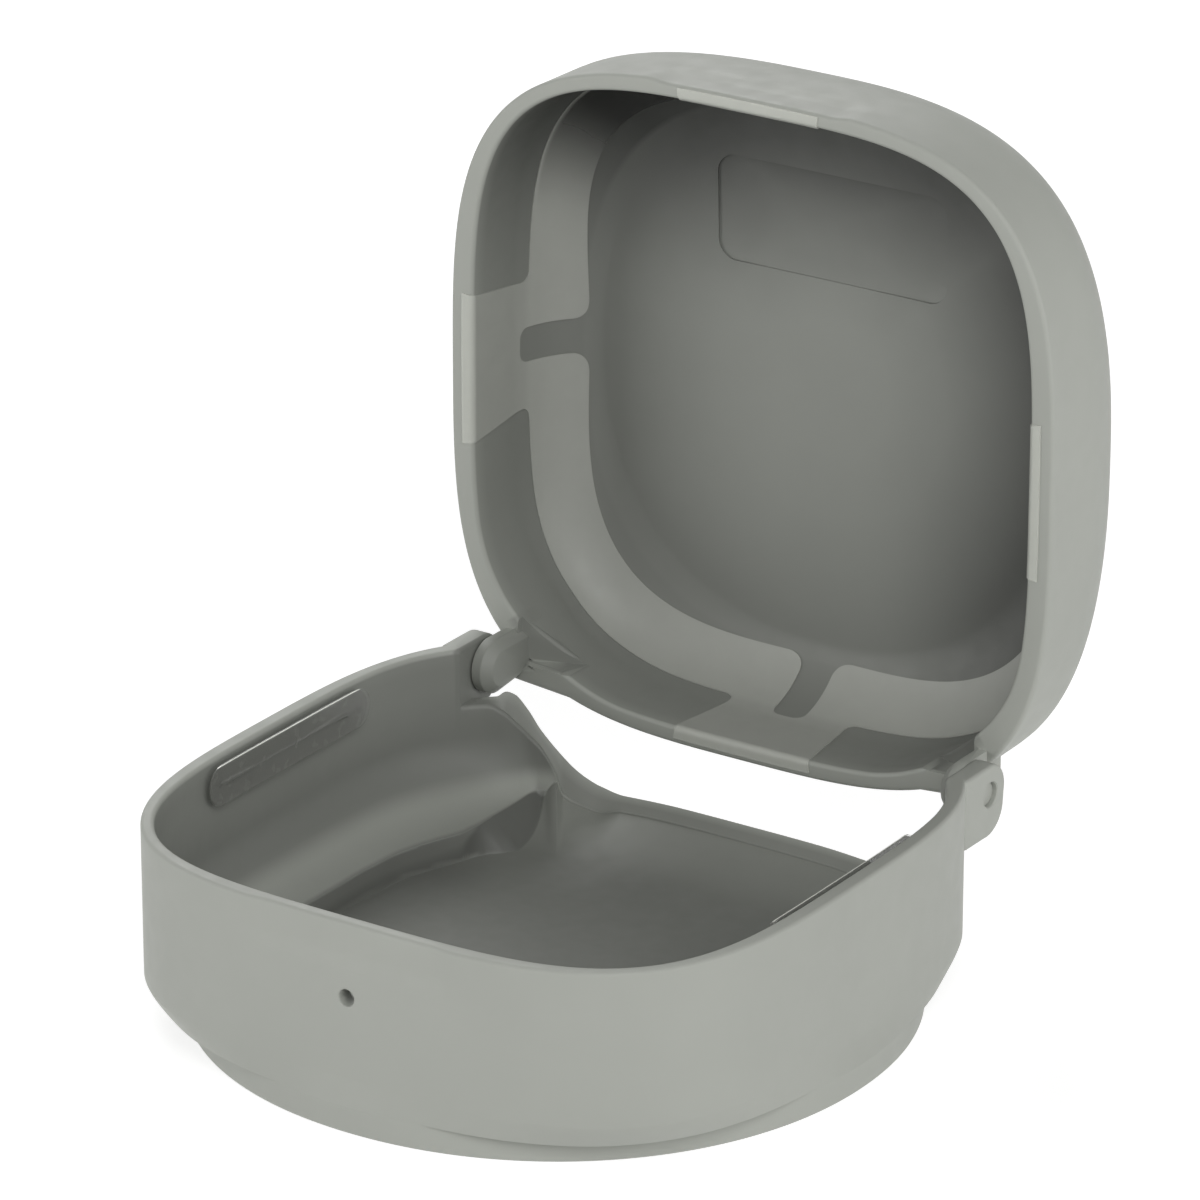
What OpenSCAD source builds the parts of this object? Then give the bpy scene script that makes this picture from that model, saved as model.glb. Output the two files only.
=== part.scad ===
// Push-on hard cover for a common rounded-square earbud charging case, about 50 by 50 by 28 mm.
// Units are millimetres. Z is up and Y points to the back, where the hinge is.
// The origin is the middle of the flat foot. The lid is drawn open, as in the photo.

/* [Body] */
// Outside width of the base shell from side to side
body_width = 53.2; // [50:0.2:58]
// Outside depth of the base shell from front to back
body_depth = 53.2; // [50:0.2:58]
// How far the lid stands out over the base all round
lid_overhang = 0.15; // [0:0.05:0.4]
// How square the outline is, 2 is an ellipse
outline_power = 3.36; // [2.9:0.02:4]
// The same for the inside of the walls
inner_power = 3.75; // [3:0.05:4.5]
// Height of the base shell from the foot to the parting plane
base_height = 16.2; // [15:0.1:19]
// Height of the lid shell from the parting plane to its shoulder
lid_height = 13.3; // [11.5:0.1:16]
// Rise of the crown in the middle of the lid, above the shoulder
lid_crown = 0.6; // [0.2:0.1:1.5]

/* [Walls] */
// Wall of the base at its two sides
base_side_wall = 1.4; // [1.2:0.05:1.9]
// Wall of the lid at its two sides
lid_side_wall = 2; // [1.6:0.05:2.2]
// Wall of both shells at the front and the back
front_wall = 1.45; // [1.2:0.05:1.7]
// Thickness under the floor of the base
floor_wall = 1.8; // [1.2:0.1:2.4]
// Thickness of the lid ceiling
ceiling_wall = 1.3; // [1:0.1:1.8]
// Gap between the two shells when the cover is shut
seam_gap = 0.18; // [0.16:0.01:0.3]
// Small bevel on the rim edges
rim_bevel = 0.25; // [0.1:0.05:0.4]

/* [Foot] */
// Diameter of the round foot under the base
foot_diameter = 54.3; // [50:0.1:55]
// Height of the foot
foot_height = 2; // [1:0.1:3]

/* [Back opening] */
// Depth of the opening in the back wall, below the parting plane
back_cut_depth = 12; // [10.8:0.1:12.2]
// Depth of the step in the wall beside each hinge arm
arm_ledge_depth = 4.72; // [4.65:0.01:5.2]

/* [Hinge] */
// Distance of the hinge line in front of the rear face
hinge_setback = 3.8; // [3.6:0.02:4.2]
// Depth of the hinge line below the parting plane
hinge_drop = 2.36; // [2.3:0.02:2.6]
// Distance of each ear's outer face in from the side of the body
ear_inset = 2.96; // [2.8:0.02:3.4]
// Thickness of each ear
ear_thickness = 1.74; // [1.5:0.02:1.9]
// Side gap between an ear and a lid arm
arm_side_gap = 0.15; // [0.1:0.01:0.25]
// Thickness of each lid arm
arm_thickness = 1.6; // [1.5:0.05:1.8]
// Radius of the rounded end of a lid arm
arm_radius = 2.2; // [2:0.05:2.24]
// Width of the bevel on the inner edge of a lid arm
arm_bevel = 0.75; // [0.4:0.05:1]
// Radius of the flat face inside that bevel
arm_face_radius = 1.5; // [1.1:0.05:1.7]
// Distance of the rear side of a lid arm behind the hinge line
arm_back = 1.75; // [1.4:0.05:1.9]
// Diameter of a hinge pin
pin_diameter = 1.9; // [1.5:0.05:2.1]
// Gap round a pin in its ear
pin_ear_gap = 0.02; // [0.01:0.01:0.05]
// Running gap round a pin in its lid arm
pin_arm_gap = 0.05; // [0.03:0.01:0.1]
// Angle of the open lid from shut
open_angle = 90.2; // [60:0.2:90.6]

/* [Details] */
// Diameter of the hole for the case's indicator light
light_hole_diameter = 1.3; // [1:0.1:2.5]
// Depth of the light hole below the parting plane
light_hole_drop = 5.78; // [4.5:0.1:9]
// Half width of the thumb scoop
scoop_half_width = 9.2; // [7:0.2:11]
// Reach of the thumb scoop above and below the seam
scoop_reach = 2.7; // [2:0.1:3.4]
// Depth of the thumb scoop
scoop_depth = 0.4; // [0.2:0.05:0.6]
// Width of the shallow panel in the lid ceiling
panel_width = 20.4; // [14:0.2:24]
// Length of the shallow panel in the lid ceiling
panel_length = 8.6; // [6:0.2:10]
// Distance of the panel behind the front face
panel_setback = 9.5; // [7:0.1:14]

/* [Tapes] */
// Thickness of the clear tapes
tape_thickness = 0.1; // [0.06:0.01:0.11]
// Gap left behind a tape
tape_gap = 0.02; // [0.01:0.01:0.03]
// Height of the side strips in the base
strip_height = 3.2; // [2.4:0.1:4]
// Length of the side strips in the base
strip_length = 20.6; // [14:0.2:24]
// Drop of the strips' upper edge below the rim
strip_drop = 0.35; // [0.3:0.05:0.8]

/* [Hidden] */
$fn = 48;
eps = 0.02;
ha = body_width / 2;
hb = body_depth / 2;
la = ha + lid_overhang;
lb = hb + lid_overhang;
rim_z = base_height;
hinge_y = hb - hinge_setback;
hinge_z = rim_z - hinge_drop;
ear_out = ha - ear_inset;
ear_in = ear_out - ear_thickness;
arm_out = ear_in - arm_side_gap;
arm_in = arm_out - arm_thickness;
pin_r = pin_diameter / 2;
foot_r = foot_diameter / 2;

// Radius of a squared ellipse at the angle t from the back, with half sizes a and b
function sq(t, a, b, n) =
  pow(pow(abs(sin(t)) / a, n) + pow(abs(cos(t)) / b, n), -1 / n);
function soft(u) = let (v = min(max(u, 0), 1)) v * v * (3 - 2 * v);
function mix(a, b, u) = a + (b - a) * u;
// The same angle folded to the range from 0 at the back to 180 at the front
function fold(t) = let (m = t < 0 ? t + 360 : t) m > 180 ? 360 - m : m;
// Depth of the thumb scoop at x and at the height h from the parting plane
function scoop(t, r, h) = fold(t) < 120 ? 0 :
  scoop_depth * soft((scoop_half_width - abs(r * sin(t))) / 1.6)
  * soft((scoop_reach + 0.6 - abs(h)) / 0.8);

// Angles of the columns, right side from the back to the front, then the left side
base_half = [0, 10, 18, 23, 25, 27, 29, 31, 33, 34.6, 36.2, 38, 40, 41.2, 42.3, 44, 46.5, 49.2, 50.4, 53, 57, 62,
  68, 75, 82, 90, 98, 106, 114, 121, 126, 131, 135, 139, 144, 149, 154, 158.6, 162, 165, 169, 174.5, 180];
lid_half = [0, 3.5, 8.5, 13, 18, 23, 28, 33, 37, 41, 45, 49, 53, 58, 64, 70.5, 77, 81.5, 86.5, 90, 93.5,
  98.5, 103, 110, 117, 122, 127, 131, 135, 139, 144, 149, 154, 158.4, 162, 167, 171.5, 176.5, 180];
function ring_angles(h) = concat(h, [for (i = [len(h) - 2:-1:1]) 360 - h[i]]);
base_t = ring_angles(base_half);
lid_t = ring_angles(lid_half);

// A closed skin over a stack of rings, each point given as [radius, height]
module skin(ts, rows, z0, z1) {
  n = len(ts);
  m = len(rows);
  pts = concat(
    [for (row = rows) for (j = [0:n - 1]) [row[j][0] * sin(ts[j]), row[j][0] * cos(ts[j]), row[j][1]]],
    [[0, 0, z0], [0, 0, z1]]);
  sides = [for (i = [0:m - 2]) for (j = [0:n - 1]) let (
      k = (j + 1) % n, a = i * n + j, b = i * n + k, c = a + n, d = b + n)
    each [[a, b, d], [a, d, c]]];
  ends = [for (j = [0:n - 1]) let (k = (j + 1) % n)
    each [[m * n, k, j], [m * n + 1, (m - 1) * n + j, (m - 1) * n + k]]];
  polyhedron(points = pts, faces = concat(sides, ends), convexity = 8);
}

// Base outline, lip heights in the back opening, and the ledge and floor inside
function base_r(t) = sq(t, ha, hb, outline_power);
function base_in_r(t) = sq(t, ha - base_side_wall, hb - front_wall, inner_power)
  - lookup(fold(t), [[38, 0], [42.3, 0.3], [49.2, 0.55], [57, 0.1], [62, 0]]);
function lip_out(t) = let (u = fold(t)) u > 49.8 ? 0 :
  -lookup(u, [[0, back_cut_depth], [23, back_cut_depth], [27, back_cut_depth - 0.35],
    [29, back_cut_depth - 0.8], [31, back_cut_depth - 1.5], [33, back_cut_depth * 0.79],
    [36.2, 7.4], [38, 5.9], [40, 4.7], [41.2, 4.4], [42.3, arm_ledge_depth], [49.8, arm_ledge_depth]]);
function lip_in(t) = let (u = fold(t)) u > 49.8 ? 0 :
  -lookup(u, [[0, back_cut_depth + 0.7], [23, back_cut_depth + 0.8], [27, back_cut_depth + 0.8],
    [31, back_cut_depth + 0.2], [33, back_cut_depth - 1], [34.6, 9.6], [36.2, 8.5], [38, 7.5],
    [40, 6.5], [42, 5.6], [44, arm_ledge_depth + 0.1], [49.8, arm_ledge_depth]]);
ledge_k = (ha - base_side_wall) / 25.1;
function ledge_r(t) = let (u = fold(t)) ledge_k * lookup(u, [[0, 21.6], [23, 23.4], [31, 25.2], [34.6, 27.4],
  [36.2, 28], [38, 27.6], [40, 26.8], [44, 24.8], [49.2, 22.8], [53, 21.6], [62, 21.3],
  [68, 21.1], [75, 20.3], [90, 19.8], [107, 20.6], [121, 22.3], [135, 23.4], [149, 22.2],
  [165, 20.3], [180, 19.8]]);
function ledge_z(t) = -lookup(fold(t), [[0, 13.9], [31, 13.9], [34.6, 13.2], [36.2, 12.2], [180, 12.1]]);
function well_r(t) = let (u = fold(t)) ledge_k * lookup(u, [[0, 18], [23, 19.6], [31, 21], [36.2, 22], [40, 22.8],
  [45, 22.6], [50.4, 21.9], [57, 20.7], [68, 20], [90, 19.2], [107, 20], [121, 21.6],
  [135, 22.7], [149, 21.6], [165, 19.7], [180, 19.2]]);

module base_skin() {
  low = -(base_height - foot_height);
  start = -12.4;
  fr = function(t) sq(t, foot_r, foot_r, 2.06);
  body = function(t, b) let (d = fr(t) - base_r(t)) base_r(t) + (d > 0 ? d * b : d * 0.43 * b);
  wall = function(t, u) mix(start, lip_out(t), u);
  out_row = function(u) [for (t = base_t) let (z = wall(t, u), r = base_r(t)) [r - scoop(t, r, z), z]];
  inner = function(t, u) let (
      top = lip_in(t) - rim_bevel, zl = min(ledge_z(t), top - 0.3), h = min(-7, top - 0.2),
      r = base_in_r(t), q = min(ledge_r(t), r - 0.25))
    u < 1 ? [r, mix(top, h, u)] :
    [mix(r, q, 1 - cos(90 * (u - 1))), mix(h, zl, sin(90 * (u - 1)))];
  floor_z = -base_height + floor_wall;
  rows = concat(
    [[for (t = base_t) [fr(t) - 0.3, -base_height]],
     [for (t = base_t) [fr(t), -base_height + 0.3]],
     [for (t = base_t) [fr(t), low - 0.03]]],
    [for (b = [1, 0.72, 0.42, 0.18]) [for (t = base_t)
      [body(t, b), mix(start, low, b == 1 ? 1 : b == 0.72 ? 0.8 : b == 0.42 ? 0.52 : 0.25)]]],
    [for (u = [0, 0.45, 0.735, 0.775, 0.82, 0.9]) out_row(u)],
    [[for (t = base_t) let (r = base_r(t))
      [r - scoop(t, r, 0), fold(t) < 49.8 ? mix(wall(t, 0.9), lip_out(t), 0.6) : -rim_bevel]],
     [for (t = base_t) let (r = base_r(t)) [r - rim_bevel - scoop(t, r, 0), lip_out(t)]],
     [for (t = base_t) [base_in_r(t) + rim_bevel, lip_in(t) - (fold(t) < 49.8 ? 0.02 : 0)]]],
    [for (u = [0, 0.5, 1, 1.25, 1.5, 1.75, 2]) [for (t = base_t) inner(t, u)]],
    [[for (t = base_t) [well_r(t) + 0.15, floor_z + 0.35]],
     [for (t = base_t) [well_r(t) - 0.35, floor_z]]]);
  translate([0, 0, rim_z]) skin(base_t, rows, -base_height, floor_z);
}

// Side view of an ear, as [y, z] from the hinge line. Its front end is buried in the wall
ear_front_in = (hb - front_wall) * pow(1 - pow(ear_in / (ha - base_side_wall), inner_power), 1 / inner_power) - 0.5;
ear_front_out = hb * pow(1 - pow(ear_out / ha, outline_power), 1 / outline_power) - 0.25;
module ear_plate(front, w) linear_extrude(w) hull() {
  translate([0, 0.16]) circle(r = 2.1);
  translate([-0.4, -1]) circle(r = 2.38);
  translate([front - hinge_y, -3.36]) square([1.2, 5.6]);
}
module ear(s) translate([s * ear_in, hinge_y, hinge_z]) rotate([90, 0, 90]) {
  half = ear_thickness / 2;
  translate([0, 0, s > 0 ? 0 : -half - eps]) ear_plate(ear_front_in, half + eps);
  translate([0, 0, s > 0 ? half : -ear_thickness]) ear_plate(ear_front_out, half);
}

module base_shell() color([0.62, 0.63, 0.59]) difference() {
  union() {
    base_skin();
    for (s = [-1, 1]) ear(s);
  }
  for (s = [-1, 1]) translate([s * (ear_in - 1.2), hinge_y, hinge_z]) rotate([0, s * 90, 0])
    cylinder(r = pin_r + pin_ear_gap, h = ear_thickness + 3);
  translate([0, -hb + front_wall + 1.5, rim_z - light_hole_drop]) rotate([90, 0, 0])
    cylinder(r = light_hole_diameter / 2, h = front_wall + 3);
}

// Lid surfaces while shut, from the parting plane up
lid_shoulder = 6;
function lid_out_pt(t, u) = let (
    c = u >= 1 ? 0 : cos(90 * u), s = u >= 1 ? 1 : sin(90 * u),
    n = mix(outline_power, 2.06, s * s), k = 1 - 0.152 * (1 - pow(c, 1.07)))
  [k * sq(t, la - 0.1, lb - 0.1, n), mix(lid_shoulder, lid_height, pow(s, 1.07))];
function lid_in_pt(t, u) = let (
    c = u >= 1 ? 0 : cos(90 * u), s = u >= 1 ? 1 : sin(90 * u),
    n = mix(inner_power, 2.25, s * s), k = 1 - 0.18 * (1 - pow(c, 1.07)))
  [k * sq(t, la - lid_side_wall, lb - front_wall, n),
   mix(lid_shoulder - 0.4, lid_height - ceiling_wall, pow(s, 1.07))];
in_steps = [1, 0.8, 0.66, 0.5, 0.34, 0.2, 0];

module lid_skin() {
  g = seam_gap;
  rin = function(t) sq(t, la - lid_side_wall, lb - front_wall, inner_power);
  rout = function(t) sq(t, la, lb, outline_power);
  top = lid_height - ceiling_wall;
  rows = concat(
    [for (k = [0.45, 0.8]) [for (t = lid_t) [lid_in_pt(t, 1)[0] * k, top + (1 - k * k) * lid_crown]]],
    [for (u = in_steps) [for (t = lid_t) lid_in_pt(t, u)]],
    [for (z = [2.6, g + 0.4]) [for (t = lid_t) [rin(t), z]]],
    [[for (t = lid_t) [rin(t) + 0.35, g]],
     [for (t = lid_t) let (r = rout(t)) [r - rim_bevel - scoop(t, r, 0), g]],
     [for (t = lid_t) let (r = rout(t)) [r - scoop(t, r, 0), g + rim_bevel]]],
    [for (z = [1.4, 2.2, 2.75, 3.3]) [for (t = lid_t) let (r = rout(t)) [r - scoop(t, r, z) - z / 60, z]]],
    [for (u = [0, 0.22, 0.42, 0.58, 0.72, 0.86, 1]) [for (t = lid_t) lid_out_pt(t, u)]],
    [for (k = [0.8, 0.45]) [for (t = lid_t) [lid_out_pt(t, 1)[0] * k, lid_height + (1 - k * k) * lid_crown]]]);
  skin(lid_t, rows, top + lid_crown, lid_height + lid_crown);
}

// Side view of a lid arm, as [y, z] from the hinge line of the shut lid
arm_top = 2.3;
module arm_plate(r, w) linear_extrude(w) {
  circle(r = r);
  translate([-r, 0]) square([r + arm_back, hinge_drop + arm_top]);
}
module lid_arm(s) translate([s * arm_in, hinge_y, -hinge_drop]) rotate([90, 0, 90]) {
  translate([0, 0, s > 0 ? arm_bevel : -arm_thickness]) arm_plate(arm_radius, arm_thickness - arm_bevel);
  hull() {
    translate([0, 0, s > 0 ? arm_bevel : -arm_bevel - eps]) arm_plate(arm_radius, eps);
    translate([0, 0, s > 0 ? 0 : -eps]) arm_plate(arm_face_radius, eps);
  }
}

// The squared rear corner beside an arm, its three-cornered gusset, and the rim cut away over it
corner_in = hinge_y + arm_back - 1.1;
module lid_corner(s) {
  b = hinge_y + arm_back;
  translate([0, 0, seam_gap]) linear_extrude(arm_top - seam_gap - eps)
    polygon([for (p = [[15.4, corner_in], [arm_in + 0.4, corner_in], [arm_in + 0.4, b], [arm_in - 0.6, b + 0.4],
      [16.6, b + 0.4], [15.4, b]]) [s * p[0], p[1]]]);
  translate([0, 0, 1]) linear_extrude(1.6)
    polygon([for (p = [[arm_in + 0.4, hinge_y - 2.9], [arm_in + 0.4, corner_in + eps], [14.7, corner_in + eps],
      [14.7, hinge_y + 0.25]]) [s * p[0], p[1]]]);
}
module corner_cut(s) translate([0, 0, -1]) linear_extrude(2)
  polygon([for (p = [[arm_in + 0.1, 18], [arm_in + 0.1, corner_in + eps], [14, corner_in + eps], [14, 18]])
    [s * p[0], p[1]]]);

module lid_closed() difference() {
  union() {
    difference() {
      lid_skin();
      for (s = [-1, 1]) corner_cut(s);
    }
    for (s = [-1, 1]) {
      lid_arm(s);
      lid_corner(s);
    }
  }
  for (s = [-1, 1]) translate([s * (arm_in + 0.45), hinge_y, -hinge_drop]) rotate([0, s * 90, 0])
    cylinder(r = pin_r + pin_arm_gap, h = 4);
  translate([-panel_width / 2, -hb + panel_setback, lid_height - ceiling_wall - 1])
    linear_extrude(1.35) rounded(panel_width, panel_length, 1.6);
}

module rounded(w, h, r) {
  translate([r, 0]) square([w - 2 * r, h]);
  translate([0, r]) square([w, h - 2 * r]);
  for (x = [r, w - r]) for (y = [r, h - r]) translate([x, y]) circle(r = r, $fn = 24);
}

// Turns a piece of the shut lid to the open angle about the hinge line
module opened() translate([0, hinge_y, hinge_z]) rotate([-open_angle, 0, 0])
  translate([0, -hinge_y, hinge_drop]) children();

module lid_shell() color([0.62, 0.63, 0.59]) opened() lid_closed();

module pin(s) translate([s * (arm_in + 0.55), hinge_y, hinge_z]) rotate([0, s * 90, 0])
  cylinder(r = pin_r, h = ear_out - 0.2 - arm_in - 0.55);
module hinge_pin_left() color([0.66, 0.67, 0.63]) pin(-1);
module hinge_pin_right() color([0.66, 0.67, 0.63]) pin(1);

// The lid tape lies on the lid's own rows, d off the skin: a ring in the cove, four tabs to the rim
tab_half = 13;
slot_half = 3.5;
function tape_rows(t, d) = let (
    r = sq(t, la - lid_side_wall, lb - front_wall, inner_power), g = seam_gap)
  concat(
    [for (u = [0.8, 0.66, 0.5, 0.34, 0.2, 0]) let (
        p = lid_in_pt(t, u), q = lid_in_pt(t, u + 0.03), l = norm(q - p))
      u == 0 ? [p[0] - d, p[1]] : [p[0] - d * (q[1] - p[1]) / l, p[1] - d * (p[0] - q[0]) / l]],
    [[r - d, 2.6], [r - d, g + 0.4 - 0.38 * d], [r + 0.35 - 0.45 * d, g - d], [r + 0.95, g - d]]);
module tape_sheet(ts, d0, d1) {
  n = len(ts);
  m = 10;
  off = function(t) let (w = t % 90) min(w, 90 - w);
  has = function(i, j) let (k = (j + n) % n, a = off((ts[k] + (k == n - 1 ? 360 : ts[k + 1])) / 2))
    i >= 0 && i < m - 1 && (i < 4 ? a > slot_half : a < tab_half);
  flat = function(d) [for (i = [0:m - 1]) for (t = ts) let (p = tape_rows(t, d)[i])
    [p[0] * sin(t), p[0] * cos(t), p[1]]];
  h = n * m;
  faces = [for (i = [0:m - 2]) for (j = [0:n - 1]) if (has(i, j)) let (
      k = (j + 1) % n, a = i * n + j, b = i * n + k, c = a + n, e = b + n)
    each concat([[a, b, e], [a, e, c], [h + a, h + e, h + b], [h + a, h + c, h + e]],
      has(i - 1, j) ? [] : [[b, a, h + a], [b, h + a, h + b]],
      has(i, j + 1) ? [] : [[e, b, h + b], [e, h + b, h + e]],
      has(i + 1, j) ? [] : [[c, e, h + e], [c, h + e, h + c]],
      has(i, j - 1) ? [] : [[a, c, h + c], [a, h + c, h + a]])];
  polyhedron(points = concat(flat(d1), flat(d0)), faces = faces, convexity = 8);
}
module lid_tape() color([0.74, 0.75, 0.72]) opened()
  tape_sheet(lid_t, tape_gap, tape_gap + tape_thickness);

// Flat strip against a side wall of the base, o is its distance off the wall at its ends
strip_end_x = sq(90 - asin(strip_length / body_width), ha - base_side_wall, hb - front_wall, inner_power)
  * cos(asin(strip_length / body_width));
module strip(s, o, t, grow) {
  x = strip_end_x - o - t;
  translate([s > 0 ? x : -x - t, -strip_length / 2 - grow / 2, rim_z - strip_drop - strip_height])
    rotate([90, 0, 90]) linear_extrude(t) rounded(strip_length + grow, strip_height, 1.1);
}
module base_tape_left() color([0.5, 0.51, 0.48]) strip(-1, tape_gap, tape_thickness, 0);
module base_tape_right() color([0.5, 0.51, 0.48]) strip(1, tape_gap, tape_thickness, 0);
liner_off = 2 * tape_gap + tape_thickness;
module base_liner_left() color([0.6, 0.61, 0.58]) strip(-1, liner_off, 0.08, 0.7);
module base_liner_right() color([0.6, 0.61, 0.58]) strip(1, liner_off, 0.08, 0.7);

base_shell();
lid_shell();
hinge_pin_left();
hinge_pin_right();
lid_tape();
base_tape_left();
base_tape_right();
base_liner_left();
base_liner_right();
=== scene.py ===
import bpy
import numpy as np
from mathutils import Matrix, Vector


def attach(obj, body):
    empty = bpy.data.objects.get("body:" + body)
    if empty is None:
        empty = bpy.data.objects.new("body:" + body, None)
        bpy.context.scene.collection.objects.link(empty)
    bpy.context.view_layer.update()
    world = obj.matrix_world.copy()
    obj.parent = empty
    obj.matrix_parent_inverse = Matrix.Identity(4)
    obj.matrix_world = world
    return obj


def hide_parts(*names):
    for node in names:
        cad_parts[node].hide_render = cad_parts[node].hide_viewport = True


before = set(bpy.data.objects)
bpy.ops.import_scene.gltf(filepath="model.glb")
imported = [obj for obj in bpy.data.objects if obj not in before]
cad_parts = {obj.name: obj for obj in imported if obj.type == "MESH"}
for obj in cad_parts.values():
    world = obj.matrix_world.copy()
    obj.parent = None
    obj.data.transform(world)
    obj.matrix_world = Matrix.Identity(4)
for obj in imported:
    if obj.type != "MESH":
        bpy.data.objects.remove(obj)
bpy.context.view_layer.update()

# A hard cover for a rounded-square earbud charging case, standing open.
# Lengths are in millimetres until a mesh is finished. Z is up and the hinge is at the back (+Y). In the
# functions t is the angle from the back, f the same folded to 0 to 180 degrees, r the distance from the
# upright middle line, h the height over the parting plane between the two shells, and u a share.

cover = {"rim": 16.2, "half": 26.6, "lidHalf": 26.75, "squareness": 3.36, "innerSquareness": 3.75,
         "hingeY": 22.8, "hingeH": -2.36, "openDegrees": 90.2}
view = {"turn": 33.682, "tilt": 22.326, "distance": 553.033, "aside": 3.284, "lift": 14.520, "lens": 225.94,
        "sensor": 36, "near": 0.01, "far": 20}


def addObject(name, data):
    obj = bpy.data.objects.new(name, data)
    bpy.context.scene.collection.objects.link(obj)
    return obj


# The camera looks along a level turn and a downward tilt, in degrees, at a point near the middle of the cover
def addCamera():
    turn, tilt = np.radians(view["turn"]), np.radians(view["tilt"])
    right = Vector((np.cos(turn), np.sin(turn), 0))
    ahead = Vector((-np.sin(turn) * np.cos(tilt), np.cos(turn) * np.cos(tilt), -np.sin(tilt)))
    above = right.cross(ahead)
    place = view["aside"] * right + view["lift"] * above - view["distance"] * ahead
    place.z += cover["rim"]
    camera = addObject("photoCamera", bpy.data.cameras.new("photoCamera"))
    axes = Matrix((right, above, -ahead)).transposed().to_4x4()
    camera.matrix_world = Matrix.Translation(place / 1000) @ axes
    camera.data.lens = view["lens"]
    camera.data.sensor_width = view["sensor"]
    camera.data.clip_start, camera.data.clip_end = view["near"], view["far"]
    bpy.context.scene.camera = camera


addCamera()
print("camera is placed")

# Points of the fine table and of round outlines, the least angle between two columns, and plate()'s far end
grid = {"fine": 20001, "hull": 96, "turned": 64, "leastGap": 0.0025, "farEnd": -1e-6}


# Radius at the angle t of a squared ellipse: (|sin t / a|^n + |cos t / b|^n)^(-1/n)
def squircle(t, a, b, n):
    return (np.abs(np.sin(t) / a) ** n + np.abs(np.cos(t) / b) ** n) ** (-1 / n)


def soft(u):  # smooth step from 0 to 1: v * v * (3 - 2 v) with v held between 0 and 1
    v = np.clip(u, 0, 1)
    return v * v * (3 - 2 * v)


def fade(x, start, width):  # the smooth step over a width that begins at start
    return soft((x - start) / width)


def mix(a, b, u):  # a at 0 and b at 1
    return a + (b - a) * u


def smoothLeast(a, b, k):  # the smaller of two distances, with a fillet of about k where they cross
    m = np.clip(0.5 + 0.5 * (b - a) / k, 0, 1)
    return mix(b, a, m) - k * m * (1 - m)


def fold(t):  # angle from the back in degrees, 0 at the back and 180 at the front on both sides
    d = np.degrees(t) % 360
    return np.where(d > 180, 360 - d, d)


# Smooth line through a table: cubic pieces whose slopes are harmonic means, so it never overshoots
def through(table, x):
    px, py = np.array(table, float).T
    step = np.diff(px)
    slope = np.diff(py) / step
    both = slope[:-1] * slope[1:]
    inner = np.where(both > 0, 2 * both / np.where(both > 0, slope[:-1] + slope[1:], 1), 0)
    m = np.concatenate([[0], inner, [0]])
    i = np.clip(np.searchsorted(px, x, side="right") - 1, 0, len(px) - 2)
    s = np.clip((x - px[i]) / step[i], 0, 1)
    return (py[i] * (1 + 2 * s) * (1 - s) ** 2 + m[i] * step[i] * s * (1 - s) ** 2
            + py[i + 1] * s * s * (3 - 2 * s) - m[i + 1] * step[i] * s * s * (1 - s))


# Angles of the columns round a shell: even, but closer together where dense(folded angle) is larger. Each of
# the exact angles, in degrees, gets a column of its own on both sides
def columnAngles(count, dense, exact=()):
    fine = np.linspace(0, 2 * np.pi, grid["fine"])
    weight = dense(fold(fine))
    walk = np.concatenate([[0], np.cumsum((weight[1:] + weight[:-1]) / 2)])
    t = np.interp(np.arange(count) / count, walk / walk[-1], fine)
    for degrees in exact:
        for a in (np.radians(degrees), np.radians(360 - degrees)):
            t = np.append(t[np.abs(t - a) > grid["leastGap"]], a)
    return np.sort(t)


def makeMesh(name, points, faceSets):  # each set is an array of faces with the same count of corners
    mesh = bpy.data.meshes.new(name)
    faceSets = [np.asarray(f, np.int32) for f in faceSets if len(f)]
    loops = np.concatenate([f.ravel() for f in faceSets])
    sizes = np.concatenate([np.full(len(f), f.shape[1]) for f in faceSets])
    starts = np.concatenate([[0], np.cumsum(sizes)[:-1]])
    mesh.vertices.add(len(points))
    mesh.vertices.foreach_set("co", np.asarray(points, np.float32).ravel())
    mesh.loops.add(len(loops))
    mesh.loops.foreach_set("vertex_index", loops.astype(np.int32))
    mesh.polygons.add(len(sizes))
    mesh.polygons.foreach_set("loop_start", starts.astype(np.int32))
    mesh.update(calc_edges=True)
    mesh.validate()
    return mesh


# A closed skin over rings stacked from one pole to the other. rings is (rows, columns, 3), and the
# faces point outwards where the columns run clockwise from above and the rows run upwards
def closedSkin(name, rings, lowPole, highPole):
    rows, columns = rings.shape[:2]
    i, j = np.meshgrid(np.arange(rows - 1), np.arange(columns), indexing="ij")
    a, b = i * columns + j, i * columns + (j + 1) % columns
    quads = np.stack([a, b, b + columns, a + columns], -1).reshape(-1, 4)[:, ::-1]
    j = np.arange(columns)
    k, last, n = (j + 1) % columns, (rows - 1) * columns, rows * columns
    ends = np.concatenate([np.stack([np.full(columns, n), j, k], -1),
                           np.stack([np.full(columns, n + 1), last + k, last + j], -1)])
    return makeMesh(name, np.concatenate([rings.reshape(-1, 3), [lowPole, highPole]]), [quads, ends])


def ringPoints(t, rows):  # rows of (radius, height) at each angle, as points
    return np.array([np.stack([r * np.sin(t), r * np.cos(t), h + 0 * t], -1) for r, h in rows])


# Outline of the hull of discs (y, z, radius): in every direction the disc that reaches furthest gives
# the point. A depth moves the outline inwards
def discHull(discs, depth):
    a = np.linspace(0, 2 * np.pi, grid["hull"], endpoint=False)
    discs = np.array(discs, float)
    reach = discs[:, 0, None] * np.cos(a) + discs[:, 1, None] * np.sin(a) + discs[:, 2, None]
    y, z, r = discs[reach.argmax(0)].T
    return y + (r - depth) * np.cos(a), z + (r - depth) * np.sin(a)


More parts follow.
